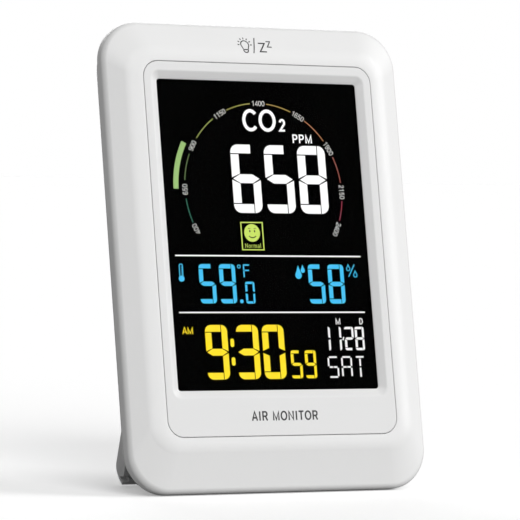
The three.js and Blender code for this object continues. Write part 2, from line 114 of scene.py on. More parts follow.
def case_matrix():
    """From the case's frame in millimetres to the row's in metres: the keys press along -Y."""
    back = -Vector(joint("power_press")["axis"]).normalized()
    right = Vector((1, 0, 0))
    up = right.cross(back)
    turn = Matrix((right, back, up)).transposed()
    hinge = Vector(joint("stand_hinge")["pos_m"])
    origin = hinge - turn @ Vector((0, HINGE[0] * MM, HINGE[1] * MM))
    return Matrix.Translation(origin) @ turn.to_4x4() @ Matrix.Scale(MM, 4)


CASE = case_matrix()
STAND = CASE @ Matrix.Translation((0, *HINGE)) @ Matrix.Rotation(STAND_OPENING, 4, "X")


# Mesh building.

def outline(rectangle, y, steps=14):
    """The points of a rectangle with round corners at depth y."""
    half, corner = rectangle["half"], rectangle["corner"]
    low, high = rectangle["bottom"] + corner, rectangle["top"] - corner
    side = half - corner
    points = []
    for quarter, (x, z) in enumerate([(side, high), (-side, high), (-side, low), (side, low)]):
        for step in range(steps + 1):
            angle = (quarter + step / steps) * math.pi / 2
            points.append((x + corner * math.cos(angle), y, z + corner * math.sin(angle)))
    return points


def grown(rectangle, by, corner=None):
    """A rectangle grown by `by` on every side."""
    return {
        "half": rectangle["half"] + by,
        "bottom": rectangle["bottom"] - by,
        "top": rectangle["top"] + by,
        "corner": max(rectangle["corner"] + by, 0.3) if corner is None else corner,
    }


def loft(rings, closed=False):
    """Vertices and faces of outlines joined in order, capped at both ends unless closed."""
    count = len(rings[0])
    vertices = [point for ring in rings for point in ring]
    faces = []
    bands = len(rings) if closed else len(rings) - 1
    for band in range(bands):
        near, far = band * count, (band + 1) % len(rings) * count
        for i in range(count):
            j = (i + 1) % count
            faces.append((near + i, near + j, far + j, far + i))
    if not closed:
        faces.append(tuple(reversed(range(count))))
        faces.append(tuple(range(len(vertices) - count, len(vertices))))
    return vertices, faces


def linked(name, data):
    """A new object in the scene."""
    obj = bpy.data.objects.new(name, data)
    bpy.context.scene.collection.objects.link(obj)
    return obj


def mesh_object(name, vertices, faces):
    """A closed mesh in millimetres, with its normals out. finish_piece takes it to the row's frame."""
    mesh = bpy.data.meshes.new(name)
    mesh.from_pydata(vertices, [], faces)
    build = bmesh.new()
    build.from_mesh(mesh)
    bmesh.ops.remove_doubles(build, verts=build.verts, dist=1e-4)
    bmesh.ops.recalc_face_normals(build, faces=build.faces)
    build.to_mesh(mesh)
    build.free()
    return linked(name, mesh)


def modify(obj, kind, **settings):
    """Applies one modifier to an object."""
    modifier = obj.modifiers.new(kind, kind)
    for name, value in settings.items():
        setattr(modifier, name, value)
    graph = bpy.context.evaluated_depsgraph_get()
    mesh = bpy.data.meshes.new_from_object(obj.evaluated_get(graph))
    obj.modifiers.clear()
    obj.data = mesh


def soften(obj):
    """Smooth shading that keeps flat faces flat, with edges sharper than 30 degrees kept crisp."""
    obj.data.shade_smooth()
    obj.data.set_sharp_from_angle(angle=math.radians(30))
    modify(obj, "WEIGHTED_NORMAL", keep_sharp=True, weight=80)


def boolean(obj, tool, operation):
    """Changes obj by a tool object, which is then removed."""
    modify(obj, "BOOLEAN", operation=operation, object=tool, solver="EXACT", use_self=False)
    bpy.data.objects.remove(tool)


def join(obj, tool):
    boolean(obj, tool, "UNION")


def cut(obj, tool):
    boolean(obj, tool, "DIFFERENCE")


def bevel(obj, width, segments=2):
    """Rounds every edge sharper than 40 degrees by a width in millimetres."""
    limit = {"limit_method": "ANGLE", "angle_limit": math.radians(40)}
    modify(obj, "BEVEL", width=width, segments=segments, use_clamp_overlap=True, **limit)


def separate_boxes(name, spans):
    """Separate boxes as one piece, each from its limits along X, Y and Z."""
    sides = [(0, 1, 3, 2), (4, 6, 7, 5), (0, 4, 5, 1), (2, 3, 7, 6), (0, 2, 6, 4), (1, 5, 7, 3)]
    vertices, faces = [], []
    for xs, ys, zs in spans:
        start = len(vertices)
        vertices += [(x, y, z) for x in xs for y in ys for z in zs]
        faces += [tuple(start + i for i in side) for side in sides]
    return mesh_object(name, vertices, faces)


def box(name, xs, ys, zs):
    return separate_boxes(name, [(xs, ys, zs)])


def circle(radius, u, v, steps=28):
    """Points round u, v."""
    angles = (2 * math.pi * i / steps for i in range(steps))
    return [(u + radius * math.cos(a), v + radius * math.sin(a)) for a in angles]


def quarter(steps):
    """Angles from 0 to a right angle."""
    return [math.pi / 2 * i / steps for i in range(steps + 1)]


def turned(name, profile, x, z, steps=32):
    """A solid turned about a line along Y through x, z, from (radius, y) points, with flat ends."""
    rings = [[(px, y, pz) for px, pz in circle(radius, x, z, steps)] for radius, y in profile]
    return mesh_object(name, *loft(rings))


def side_profile(name, points, x0, x1):
    """A (y, z) outline pushed along X."""
    return mesh_object(name, *loft([[(x, y, z) for y, z in points] for x in (x0, x1)]))


# Materials.

def set_inputs(node, values):
    """Sets a node's constant sockets by name, with _ for a space."""
    for socket, value in values.items():
        node.inputs[socket.replace("_", " ")].default_value = value


def principled(name, **inputs):
    """A new material and its Principled shader."""
    material = bpy.data.materials.new(name)
    material.use_nodes = True
    shader = material.node_tree.nodes["Principled BSDF"]
    set_inputs(shader, inputs)
    return material, shader


def added(tree, kind, **inputs):
    """A new node of a kind in a node tree."""
    node = tree.nodes.new(f"ShaderNode{kind}")
    set_inputs(node, inputs)
    return node


def noise(tree, scale, detail, roughness=0.5):
    """A noise texture in the row's own coordinates; scale is features per metre."""
    place = added(tree, "TexCoord")
    texture = added(tree, "TexNoise", Scale=scale, Detail=detail, Roughness=roughness)
    tree.links.new(place.outputs["Object"], texture.inputs["Vector"])
    return texture.outputs["Fac"]


def drifting_gloss(tree, shader, scale, detail, low, high):
    """Roughness that drifts between two values."""
    span = added(tree, "MapRange", From_Min=0.3, From_Max=0.7, To_Min=low, To_Max=high)
    tree.links.new(noise(tree, scale, detail), span.inputs["Value"])
    tree.links.new(span.outputs["Result"], shader.inputs["Roughness"])


def drifting_tone(tree, shader, scale, detail, low, high):
    """A colour that drifts between two."""
    mix = added(tree, "Mix")
    mix.data_type = "RGBA"
    set_inputs(mix, {"A": (*low, 1), "B": (*high, 1)})
    tree.links.new(noise(tree, scale, detail), mix.inputs["Factor"])
    tree.links.new(mix.outputs["Result"], shader.inputs["Base Color"])


def bumped(tree, shader, height, strength, distance):
    bump = added(tree, "Bump", Strength=strength, Distance=distance)
    tree.links.new(height, bump.inputs["Height"])
    tree.links.new(bump.outputs["Normal"], shader.inputs["Normal"])


def moulded_plastic(name, colour, roughness, grain=0.25, spread=0.012):
    """Moulded plastic: a spark-eroded grain, slow tone drift, and gloss that varies a little."""
    material, shader = principled(name, IOR=1.5)
    tree = material.node_tree
    darker = tuple(max(0.0, c - spread) for c in colour)
    drifting_tone(tree, shader, 60, 3, darker, colour)
    drifting_gloss(tree, shader, 900, 2, roughness - 0.05, roughness + 0.05)
    bumped(tree, shader, noise(tree, 4500, 2, 0.6), grain, 0.00002)
    return material


def lit(name, colour):
    """The material of a lit display segment."""
    emission = {"Emission_Color": (*colour, 1), "Emission_Strength": 1.0}
    return principled(name, Base_Color=(0, 0, 0, 1), Roughness=0.5, **emission)[0]


def srgb(red, green, blue):
    """Linear values of an 8-bit screen colour."""
    return tuple((c / 255 / 12.92) if c <= 10 else ((c / 255 + 0.055) / 1.055) ** 2.4
                 for c in (red, green, blue))


WHITE = moulded_plastic("case_plastic", (0.86, 0.86, 0.857), 0.42)
BEZEL_WHITE = moulded_plastic("bezel_plastic", (0.81, 0.81, 0.808), 0.45)
KEY_WHITE = moulded_plastic("key_plastic", (0.8, 0.8, 0.797), 0.4)
GREY_INK = moulded_plastic("grey_ink", (0.03, 0.03, 0.032), 0.5, 0.1, 0.004)


def smoked_acrylic():
    material, shader = principled("window_acrylic", Base_Color=(1, 1, 1, 1), IOR=1.1, Transmission_Weight=1.0)
    drifting_gloss(material.node_tree, shader, 300, 2, 0.0, 0.006)
    return material


def dark_glass():
    colour = (0.0004, 0.0004, 0.0005, 1)
    material, shader = principled("display_glass", Base_Color=colour, IOR=1.5, Specular_IOR_Level=0.0)
    drifting_gloss(material.node_tree, shader, 500, 2, 0.2, 0.3)
    return material


def brushed_metal(name, colour, roughness):
    """Drawn or plated metal, its gloss broken up by fine wear."""
    material, shader = principled(name, Metallic=1.0)
    tree = material.node_tree
    darker = tuple(c * 0.8 for c in colour)
    drifting_tone(tree, shader, 700, 4, darker, colour)
    drifting_gloss(tree, shader, 2600, 3, roughness - 0.08, roughness + 0.1)
    return material


STEEL = brushed_metal("plated_steel", (0.55, 0.56, 0.57), 0.3)
GOLD = brushed_metal("gold_plating", (0.8, 0.58, 0.24), 0.28)
BLACK_RESIN = moulded_plastic("black_resin", (0.02, 0.02, 0.021), 0.5, 0.3, 0.006)
RUBBER = moulded_plastic("dark_rubber", (0.045, 0.046, 0.048), 0.8, 0.5, 0.012)


# Pieces.

def finish_piece(obj, body, slot, material, *nodes, own_frame=CASE):
    """Puts a piece in place, with its material, body and the CAD nodes it stands for. The slot is not used.
    """
    obj.data.transform(own_frame)
    soften(obj)
    dress(obj, material)
    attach(obj, body)
    if nodes:
        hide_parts(*nodes)


def dress(obj, material):
    """Gives an object one material."""
    obj.data.materials.clear()
    obj.data.materials.append(material)


def edge_profile(margin):
    """(distance out from the surround, depth) across one side of the front frame, front to back."""
    slope = 0.0
    for _ in range(20):
        slope_end = margin - EDGE_RADIUS * (1 - math.sin(slope))
        slope = math.atan(SLOPE_FALL / (slope_end - RING_WIDTH))
    points = [(0.0, 0.3), (0.04, 0.12), (0.12, 0.03), (0.3, 0.0)]
    start = RING_WIDTH - SLOPE_SOFTNESS * math.tan(slope / 2)
    for step in range(13):
        angle = slope * step / 12
        points.append((start + SLOPE_SOFTNESS * math.sin(angle), SLOPE_SOFTNESS * (1 - math.cos(angle))))
    for step in range(13):
        angle = slope + (math.pi / 2 - slope) * step / 12
        points.append((
            slope_end + EDGE_RADIUS * (math.sin(angle) - math.sin(slope)),
            SLOPE_FALL + EDGE_RADIUS * (math.cos(slope) - math.cos(angle)),
        ))
    points += [(margin, FRONT_REAR_Y - 0.6), (margin, FRONT_REAR_Y - 0.25), (margin - 0.25, FRONT_REAR_Y)]
    return points


def front_shell():
    """The white front frame: flat surround, sloping faces and a rounded edge, 2 mm thick."""
    sides, tops, bottoms = (edge_profile(MARGIN[k]) for k in ("side", "top", "bottom"))
    rings = []
    for (side, y_side), (top, y_top), (bottom, y_bottom) in zip(sides, tops, bottoms):
        corner = SURROUND["corner"] + (EDGE["corner"] - SURROUND["corner"]) * side / MARGIN["side"]
        ring = outline({
            "half": SURROUND["half"] + side,
            "bottom": SURROUND["bottom"] - bottom,
            "top": SURROUND["top"] + top,
            "corner": corner,
        }, 0.0, 20)
        rings.append([(x, depth_at(x, z, y_side, y_top, y_bottom), z) for x, _, z in ring])
    rings += [
        outline(grown(EDGE, -WALL), FRONT_REAR_Y, 20),
        outline(grown(EDGE, -WALL), 5.9, 20),
        outline(grown(EDGE, -3.5, 10.0), 5.2, 20),
        outline(grown(SURROUND, 3), WALL, 20),
        outline(SURROUND, WALL, 20),
    ]
    shell = mesh_object("front_shell_visual", *loft(rings, closed=True))
    for boss in FRONT_BOSSES:
        profile = [(boss["radius"], boss["start"]), (boss["radius"], boss["end"])]
        for x, z in boss["points"]:
            join(shell, turned("boss", profile, x, z, steps=28))
    for boss in FRONT_BOSSES:
        bored(shell, boss["points"], boss["pilot_start"], 10, PILOT_RADIUS)
    finish_piece(shell, "case", "case_white", WHITE, "front_shell")


def depth_at(x, z, y_side, y_top, y_bottom):
    """Blends the depths of the side, top and bottom profiles round the corners of an outline."""
    half = SURROUND["half"]
    across = max(0.0, abs(x) - half + SURROUND["corner"])
    if z > 0:
        along, y_end = max(0.0, z - SURROUND["top"] + SURROUND["corner"]), y_top
    else:
        along, y_end = max(0.0, SURROUND["bottom"] + SURROUND["corner"] - z), y_bottom
    if along == 0.0 and across == 0.0:
        return y_side
    share = along / (along + across)
    share = share * share * (3 - 2 * share)
    return y_side + (y_end - y_side) * share


def display_bezel():
    """The window frame: flush face with a soft chamfer down to the display."""
    outer = grown(SURROUND, -0.16)
    hidden = grown(SURROUND, 2.5)
    seat = grown(LENS, SEAM)
    seat_y, step_y, back_y = LENS_FRONT - 0.02, WALL + 0.3, 3.8
    chamfer = [(0.0, 1.5), (0.12, 1.36), (0.35, 1.22), (2.2, 0.19), (2.5, 0.06), (2.8, 0.0)]
    rim = [(0.3, 0.0), (0.12, 0.03), (0.04, 0.1), (0, 0.26)]
    rings = [outline(WINDOW, seat_y, 10)]
    rings += [outline(grown(WINDOW, by, 1.0 + by * 0.75), y, 10) for by, y in chamfer]
    rings += [outline(grown(outer, -by), y, 10) for by, y in rim]
    rest = [(outer, step_y), (hidden, step_y), (hidden, back_y), (seat, back_y), (seat, seat_y)]
    rings += [outline(rectangle, y, 10) for rectangle, y in rest]
    obj = mesh_object("display_bezel_visual", *loft(rings, closed=True))
    finish_piece(obj, "case", "bezel_white", BEZEL_WHITE, "display_bezel")


def display_window():
    """The smoked window, and the dark glass of the display behind it."""
    obj = mesh_object("display_window", *loft([outline(LENS, LENS_FRONT), outline(LENS, LENS_BACK)]))
    bevel(obj, 0.1)
    finish_piece(obj, "case", "lens_black", smoked_acrylic(), "display_lens")
    dress(frame["nodes"]["lcd_panel"], dark_glass())


def bored(obj, points, y0, y1, radius):
    """Cuts a round hole along Y at each point."""
    for x, z in points:
        cut(obj, turned("bore", [(radius, y0), (radius, y1)], x, z, steps=20))


def rear_ring(turn, inward=0.0):
    """One outline of the rear shell, at a turn round its curved edge from the seam to the back."""
    across = 1 - math.cos(turn)
    side = REAR_STEP + inward + (REAR_CURVE["side"] - inward) * across
    bottom = REAR_STEP + inward + (REAR_CURVE["bottom"] - inward) * across
    start = FRONT_REAR_Y + SEAM
    y = start + (BACK_Y - inward - start) * math.sin(turn)
    rectangle = {
        "half": EDGE["half"] - side,
        "bottom": EDGE["bottom"] + bottom,
        "top": EDGE["top"] - side,
        "corner": max(EDGE["corner"] - side * 0.45, 3),
    }
    return outline(rectangle, y, 18)


def flared(rings, bottom=BACK_Y - 5):
    """Outlines of a cutter that opens out in a quarter round where it meets the back.

    rings(y, by) gives its outline at depth y grown by a distance.
    """
    lip = [rings(BACK_Y - LIP * (1 - math.sin(a)), LIP * (1 - math.cos(a))) for a in quarter(3)]
    return [rings(bottom, 0.0), *lip, rings(BACK_Y + 1, LIP)]


def pill_rings(x, z, half, radius):
    """A function that gives the outline of a pill about x, z at a depth, grown by a distance."""
    def rings(y, by):
        pill = {"half": half + by, "bottom": -radius - by, "top": radius + by, "corner": radius + by}
        return [(px + x, py, pz + z) for px, py, pz in outline(pill, y, 10)]
    return rings


def keyhole_rings(y, by):
    """The keyhole's outline: a round entry with a narrow slot that rises from it."""
    entry, slot = KEYHOLE["entry"] + by, KEYHOLE["slot"] + by
    gap = math.degrees(math.asin(slot / entry))
    points = arc(0, 0, entry, entry, 90 + gap, 450 - gap, 40)
    points += arc(0, KEYHOLE["rise"], slot, slot, 0, 180, 20)
    return [(x, y, z + KEYHOLE["z"]) for x, z in points]


def rear_shell():
    """The rear cover: curved edges, vents, keyhole, key and socket openings, and the stand's pocket."""
    outer_rings = [rear_ring(turn) for turn in quarter(16)]
    cavity_rings = [rear_ring(turn, WALL) for turn in quarter(16)]
    mouth = [(x, FRONT_REAR_Y - 1, z) for x, _, z in cavity_rings[0]]
    shell = mesh_object("rear_shell_visual", *loft(outer_rings))
    cut(shell, mesh_object("cavity", *loft([mouth, *cavity_rings])))
    half, floor, top = POCKET["half"] + WALL, POCKET["floor"] - WALL, POCKET["top"] + WALL
    boss = [(REAR_BOSS["radius"], FRONT_REAR_Y + SEAM), (REAR_BOSS["radius"], BACK_Y)]
    supports = [box("pocket_walls", (-half, half), (floor, BACK_Y), (EDGE["bottom"], top))]
    supports += [turned("boss", boss, x, z, steps=28) for x, z in CASE_SCREWS]
    for support in supports:
        boolean(support, mesh_object("whole", *loft(outer_rings)), "INTERSECT")
        join(shell, support)
    cut(shell, mesh_object("pocket", *loft(flared(pocket_ring, POCKET["floor"]))))
    bored(shell, CASE_SCREWS, 0, BACK_Y, REAR_BOSS["bore"])
    radius, seat = REAR_BOSS["counterbore"], SCREWS["case"]["head_y"] - SEAM
    for x, z in CASE_SCREWS:
        lip = rear_surface(x)
        counterbore = [(radius, seat), (radius, lip - 0.35), (radius + 0.1, lip - 0.1),
                       (radius + 0.4, lip + 0.3), (radius + 0.4, BACK_Y + 4)]
        cut(shell, turned("counterbore", counterbore, x, z))
    reach = PIN["outer"] + SEAM
    pin_hole = side_profile("pin_hole", circle(PIN["radius"] + SEAM, *HINGE), -reach, reach)
    cut(shell, pin_hole)
    cutters = [pill_rings(x, KEY["z"], KEY["half"] + SEAM, KEY["radius"] + SEAM) for x in KEY_XS.values()]
    cutters.append(pill_rings(USB["x"], USB["z"], USB["half"] + 0.5, USB["radius"] + 0.5))
    cutters.append(keyhole_rings)
    for side in (-1, 1):
        for row in range(VENTS["rows"]):
            z = VENTS["z"] + row * VENTS["pitch"]
            cutters.append(pill_rings(side * VENTS["x"], z, VENTS["half"], VENTS["radius"]))
    for rings in cutters:
        cut(shell, mesh_object("cutter", *loft(flared(rings))))
    finish_piece(shell, "case", "case_white", WHITE, "rear_shell")


def rear_surface(x):
    """The depth of the rear shell's curved surface at x, near a side."""
    across = (EDGE["half"] - REAR_STEP - abs(x)) / REAR_CURVE["side"]
    turn = math.acos(max(0.0, min(1.0, 1 - across)))
    start = FRONT_REAR_Y + SEAM
    return start + (BACK_Y - start) * math.sin(turn)


def pocket_ring(y, by):
    """An outline of the recess that the folded stand lies in, open at the case's lower edge."""
    pocket = {"half": POCKET["half"] + by, "bottom": EDGE["bottom"] - 8, "top": POCKET["top"] + by,
              "corner": 0.6 + by}
    return outline(pocket, y, 6)


# Keys, socket and screws.

def rear_key(name, x):
    """A key: a pill-shaped cap with a rounded, slightly domed top, its flange, and its stem."""
    z, half, radius = KEY["z"], KEY["half"], KEY["radius"]
    top, round_edge = BACK_Y + 0.5, 0.6
    side = top - round_edge
    profile = [(0.0, BACK_Y - 3), (0.0, side)]
    profile += [(round_edge * (math.cos(a) - 1), side + round_edge * math.sin(a)) for a in quarter(5)[1:-1]]
    profile += [(-0.7, top - 0.02), (-1.6, top)]
    rings = pill_rings(x, z, half, radius)
    cap = mesh_object(f"{name}_key_visual", *loft([rings(y, by) for by, y in profile]))
    rings = pill_rings(x, z, half + 1.2, radius + 1.2)
    flange = [(3.3, -0.15), (3.15, 0), (2.45, 0), (2.3, -0.15)]
    join(cap, mesh_object("flange", *loft([rings(BACK_Y - below, by) for below, by in flange])))
    stem = [(1.3, 15.65), (1.6, 15.95), (1.6, BACK_Y - 2.8)]
    join(cap, turned("stem", stem, x, z, steps=24))
    finish_piece(cap, f"{name}_button", "key_white", KEY_WHITE, f"{name}_key")
    key_symbol(name, x, top)


def key_symbol(name, x, top):
    """A printed pictogram on a key: on-off, a gear, and plain arrows."""
    art = Art(f"{name}_key_symbol", top - 0.02, top + 0.03)
    z, width = KEY["z"], 0.36
    if name == "power":
        art.stroke(arc(x, z - 0.1, 1.25, 1.25, 130, 410, 24), width)
        art.stroke([(x, z + 0.2), (x, z + 1.6)], width)
    elif name == "set":
        art.stroke(ellipse(x, z, 1.05, 1.05), width, True)
        for tooth in range(8):
            art.stroke([polar(x, z, radius, 45 * tooth) for radius in (1.1, 1.7)], width * 1.2)
    else:
        tip = 1 if name == "up" else -1
        art.polygon([(x - 1.45, z - 0.85 * tip), (x + 1.45, z - 0.85 * tip), (x, z + 1.25 * tip)])
    art.make(GREY_INK, "key_white", f"{name}_button")


def usb_socket():
    """The charging socket: a drawn steel shell with a rolled mouth, and its tongue with contacts."""
    x, z = USB["x"], USB["z"]
    shell = pill_rings(x, z, USB["half"], USB["radius"])
    mouth, wall, lip = USB["mouth"], 0.35, 0.12
    rings = [shell(10.5, 0), shell(mouth - lip, 0), shell(mouth, -lip), shell(mouth, lip - wall),
             shell(mouth - lip, -wall), shell(mouth - 6, -wall), shell(mouth - 6.1, -wall - 0.3)]
    body = mesh_object("usb_shell", *loft(rings))
    finish_piece(body, "case", "steel", STEEL, "usb_socket")
    tongue = box("usb_tongue", (x - 3.3, x + 3.3), (mouth - 6, mouth - 0.8), (z - 0.35, z + 0.35))
    bevel(tongue, 0.12)
    finish_piece(tongue, "case", "chip_black", BLACK_RESIN)
    lefts = [x + index - 2.5 - 0.22 for index in range(6)]
    for side, place in ((-1, "lower"), (1, "upper")):
        zs = (z + side * 0.36, z + side * 0.4)
        contacts = [((left, left + 0.44), (mouth - 4.6, mouth - 1.2), zs) for left in lefts]
        pads = separate_boxes(f"usb_contacts_{place}", contacts)
        finish_piece(pads, "case", "sensor_gold", GOLD)


def screw(node, x, z, head_y, tip_y, head, height):
    """A pan-head self-tapping screw with a cross recess, its thread made as rings."""
    core, crest, pitch = 0.72, 1.0, 0.8
    profile = [(core * 0.25, tip_y), (core * 0.8, tip_y + 0.7)]
    for turn in range(int((head_y - tip_y - 1.4) / pitch)):
        y = tip_y + 0.9 + turn * pitch
        profile += [(core, y), (crest, y + pitch * 0.45), (crest, y + pitch * 0.55), (core, y + pitch * 0.95)]
    profile += [(core, head_y), (head - 0.12, head_y), (head, head_y + 0.12)]
    profile += [(head * math.cos(a), head_y + height * (0.45 + 0.55 * math.sin(a))) for a in quarter(6)[:-1]]
    profile.append((0.3, head_y + height))
    obj = turned(f"{node}_visual", profile, x, z, steps=24)
    long, narrow = head * 0.62, 0.27
    depth = (head_y + height * 0.3, head_y + 5)
    for across, along in ((long, narrow), (narrow, long)):
        recess = box("recess", (x - across, x + across), depth, (z - along, z + along))
        cut(obj, recess)
    finish_piece(obj, "case", "steel", STEEL, node)


def screws():
    for kind, points in (("case", CASE_SCREWS), ("board", BOARD_SCREWS)):
        for index, (x, z) in enumerate(points, 1):
            screw(f"{kind}_screw_{index}", x, z, **SCREWS[kind])


# Stand, in a frame centred on its hinge with the stand folded.

def stand_curve(inward):
    """The stand's lower curve from its back face to its rim, drawn `inward` of the outer skin."""
    start = FRONT_REAR_Y + SEAM
    depth = FLIP["face"] - inward - start
    rim_turn = math.asin((FLIP["rim"] - start) / depth)
    points = []
    for step in range(15):
        turn = math.pi / 2 + (rim_turn - math.pi / 2) * step / 14
        y = start + depth * math.sin(turn) - HINGE[0]
        z = EDGE["bottom"] + REAR_STEP + 0.2 + inward + (REAR_CURVE["bottom"] - inward) * (1 - math.cos(turn))
        points.append((y, z - HINGE[1]))
    return points


LEVEL = Matrix.Scale(MM, 4)


def box_in_mm(name):
    """The low and high corners of a CAD node's box, level with the row's axes."""
    return [[c / MM for c in corner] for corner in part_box(name)]


def level_cutter(xs, ys, zs):
    """A box level with the surface that the monitor stands on, taken into the stand's frame."""
    cutter = box("level_cutter", xs, ys, zs)
    cutter.data.transform(STAND.inverted() @ LEVEL)
    return cutter


def cheek_spans(beyond=0):
    """The limits of the two cheeks along X, drawn out past the stand's sides by a distance."""
    inner, outer = FLIP["half"] - FLIP["cheek"], FLIP["half"] + beyond
    return ((-outer, -inner), (inner, outer))


def flip_stand():
    """The flip-out stand: a thin tray with side cheeks, a curved lower edge, and a stop edge above."""
    half, above, skin = FLIP["half"], FLIP["above"], FLIP["skin"]
    face, rim = FLIP["face"] - HINGE[0], FLIP["rim"] - HINGE[0]
    stop = (FLIP["stop"] - HINGE[0], above)
    panel = [(face, above), *stand_curve(0), *reversed(stand_curve(skin)), (face - skin, above)]
    stand = side_profile("flip_stand_visual", panel, -half, half)
    side = [(face, above), *stand_curve(0), (rim, 1.4), stop]
    for x0, x1 in cheek_spans():
        join(stand, side_profile("cheek", side, x0, x1))
    bar = [(face, above), (face, above - 2.4), (stop[0], above - 2.4), stop]
    join(stand, side_profile("bar", bar, -half, half))
    bevel(stand, 0.4, 3)
    for points in CHEEK_CUTS:
        for x0, x1 in cheek_spans(beyond=1):
            cut(stand, side_profile("cheek_cut", points, x0, x1))
    pin_hole = side_profile("pin_hole", circle(PIN["radius"] + SEAM, 0, 0), -half - 1, half + 1)
    cut(stand, pin_hole)
    pad_y = box_in_mm("stand_pad_left")[0][1]
    underside = level_cutter((-half - 1, half + 1), (pad_y - 5, pad_y + 5), (-5, SEAM))
    cut(stand, underside)
    for name in PADS:
        (x0, y0, _), (x1, y1, top) = box_in_mm(name)
        recess = level_cutter((x0 - SEAM, x1 + SEAM), (y0 - SEAM, y1 + SEAM), (-5, top + SEAM))
        cut(stand, recess)
    finish_piece(stand, "stand", "case_white", WHITE, "flip_stand", own_frame=STAND)


def stand_pads():
    """Rubber pads: rounded blocks with grip ribs across the face they stand on."""
    for name in PADS:
        (x0, y0, z0), (x1, y1, z1) = box_in_mm(name)
        pad = box(f"{name}_visual", (x0, x1), (y0, y1), (z0, z1))
        for groove in range(1, 9):
            x = x0 + (x1 - x0) * groove / 9
            cut(pad, box("groove", (x - 0.22, x + 0.22), (y0 - 1, y1 + 1), (-1, 0.18)))
        bevel(pad, 0.08)
        finish_piece(pad, "stand", "rubber_dark", RUBBER, name, own_frame=LEVEL)


def hinge_pins():
    """Steel pins with rounded ends."""
    length = PIN["outer"] - PIN["inner"]
    end = [(0, 0.75), (0.12, 0.93), (0.3, PIN["radius"])]
    profile = [*end, *((length - along, radius) for along, radius in reversed(end))]
    for name, start in (("left", -PIN["outer"]), ("right", PIN["inner"])):
        rings = [[(start + along, y, z) for y, z in circle(radius, 0, 0)] for along, radius in profile]
        pin = mesh_object(f"hinge_pin_{name}_visual", *loft(rings))
        finish_piece(pin, "stand", "steel", STEEL, f"hinge_pin_{name}", own_frame=STAND)


# Display art, drawn on the face of the glass in (x, z) millimetres.

ART_FRONT = 2.24
ART_BACK = 2.34


class Art:
    """Collects flat shapes and makes them one thin solid piece."""

    def __init__(self, name, front=ART_FRONT, back=ART_BACK):
        self.name, self.front, self.back = name, front, back
        self.vertices, self.faces = [], []

    def polygon(self, points):
        start = len(self.vertices)
        vertices, faces = loft([[(x, y, z) for x, z in points] for y in (self.front, self.back)])
        self.vertices += vertices
        self.faces += [tuple(start + i for i in face) for face in faces]

    def stroke(self, points, width, closed=False):
        """A line of constant width through the points, mitred at its corners."""
        left, right = [], []
        count = len(points)
        for i, point in enumerate(points):
            before = points[i - 1] if i or closed else None
            after = points[(i + 1) % count] if i < count - 1 or closed else None
            directions = [Vector(b) - Vector(a) for a, b in ((before, point), (point, after)) if a and b]
            directions = [d.normalized() for d in directions]
            heading = sum(directions, Vector((0, 0))).normalized()
            normal = Vector((-heading.y, heading.x))
            reach = width / 2 / max(0.5, heading.dot(directions[0]))
            left.append(Vector(point) + normal * reach)
            right.append(Vector(point) - normal * reach)
        spans = count if closed else count - 1
        for i in range(spans):
            j = (i + 1) % count
            self.polygon([left[i], left[j], right[j], right[i]])

    def drape(self, depth):
        """Lays the shapes on a surface whose depth is a function of height."""
        self.vertices = [(x, y + depth(z), z) for x, y, z in self.vertices]

    def make(self, material, slot, body="case"):
        finish_piece(mesh_object(self.name, self.vertices, self.faces), body, slot, material)

    def light_up(self, material_name, colour):
        """Makes the shapes a lit part of the display, in an 8-bit screen colour."""
        self.make(lit(material_name, srgb(*colour)), "lcd_glass")


def arc(cx, cz, rx, rz, start, end, steps=16):
    """Points of an elliptical arc, angles in degrees."""
    angles = (math.radians(start + (end - start) * i / steps) for i in range(steps + 1))
    return [(cx + rx * math.cos(a), cz + rz * math.sin(a)) for a in angles]


def ellipse(cx, cz, rx, rz, count=24):
    """Points all round an ellipse."""
    return arc(cx, cz, rx, rz, 0, 360 - 360 / count, count - 1)


def polar(cx, cz, radius, degrees):
    """The point at a distance and direction from cx, cz."""
    angle = math.radians(degrees)
    return cx + radius * math.cos(angle), cz + radius * math.sin(angle)


SEGMENTS = {
    "0": "abcdef", "1": "bc", "2": "abged", "3": "abgcd",
    "5": "afgcd", "6": "afgedc", "8": "abcdefg", "9": "abcdfg",
}

# Width, height, bar width, gap and corner radius of each size of digit.
DIGIT_SIZES = {
    "reading": (10.2, 22.15, 2.85, 0.34, 2.6),
    "temperature": (5.7, 12.58, 1.38, 0.26, 1.25),
    "tenths": (3.3, 7.0, 0.72, 0.22, 0.8),
    "humidity": (5.8, 12.7, 1.42, 0.26, 1.25),
    "clock": (7.8, 17.35, 2.15, 0.3, 2.1),
    "seconds": (3.95, 9.0, 0.95, 0.22, 0.9),
    "date": (3.3, 7.6, 0.78, 0.2, 0.7),
}


def digit(art, character, x, z, size):
    """A seven-segment digit whose lower left corner is at x, z."""
    width, height, bar, gap, corner = DIGIT_SIZES[size]
    middle, inner, nib = height / 2, width - bar, gap * 1.2
    seam, shoulder = gap / 2, middle + bar / 2 + gap * 0.6
    rounded_left = arc(corner, height - corner, corner, corner, 180, 90, 8)
    rounded_right = arc(width - corner, height - corner, corner, corner, 90, 0, 8)
    top = [(0, height - bar), *rounded_left, (inner - seam, height), (inner - seam, height - bar)]
    left = [(0, height - bar - gap), (bar, height - bar - gap), (bar, shoulder), (0, middle + nib)]
    side = [(inner + seam, height), *rounded_right, (width, middle + nib), (inner + seam, shoulder)]
    bridge = [(nib, middle), (bar * 1.02, middle + bar / 2), (inner, middle + bar / 2),
              (width - nib, middle), (inner, middle - bar / 2), (bar * 1.02, middle - bar / 2)]
    shapes = {"a": top, "f": left, "b": side, "g": bridge}
    for lower, upper in zip("dec", "afb"):
        shapes[lower] = [(px, height - pz) for px, pz in shapes[upper]]
    for segment in SEGMENTS[character]:
        art.polygon([(x + px, z + pz) for px, pz in shapes[segment]])


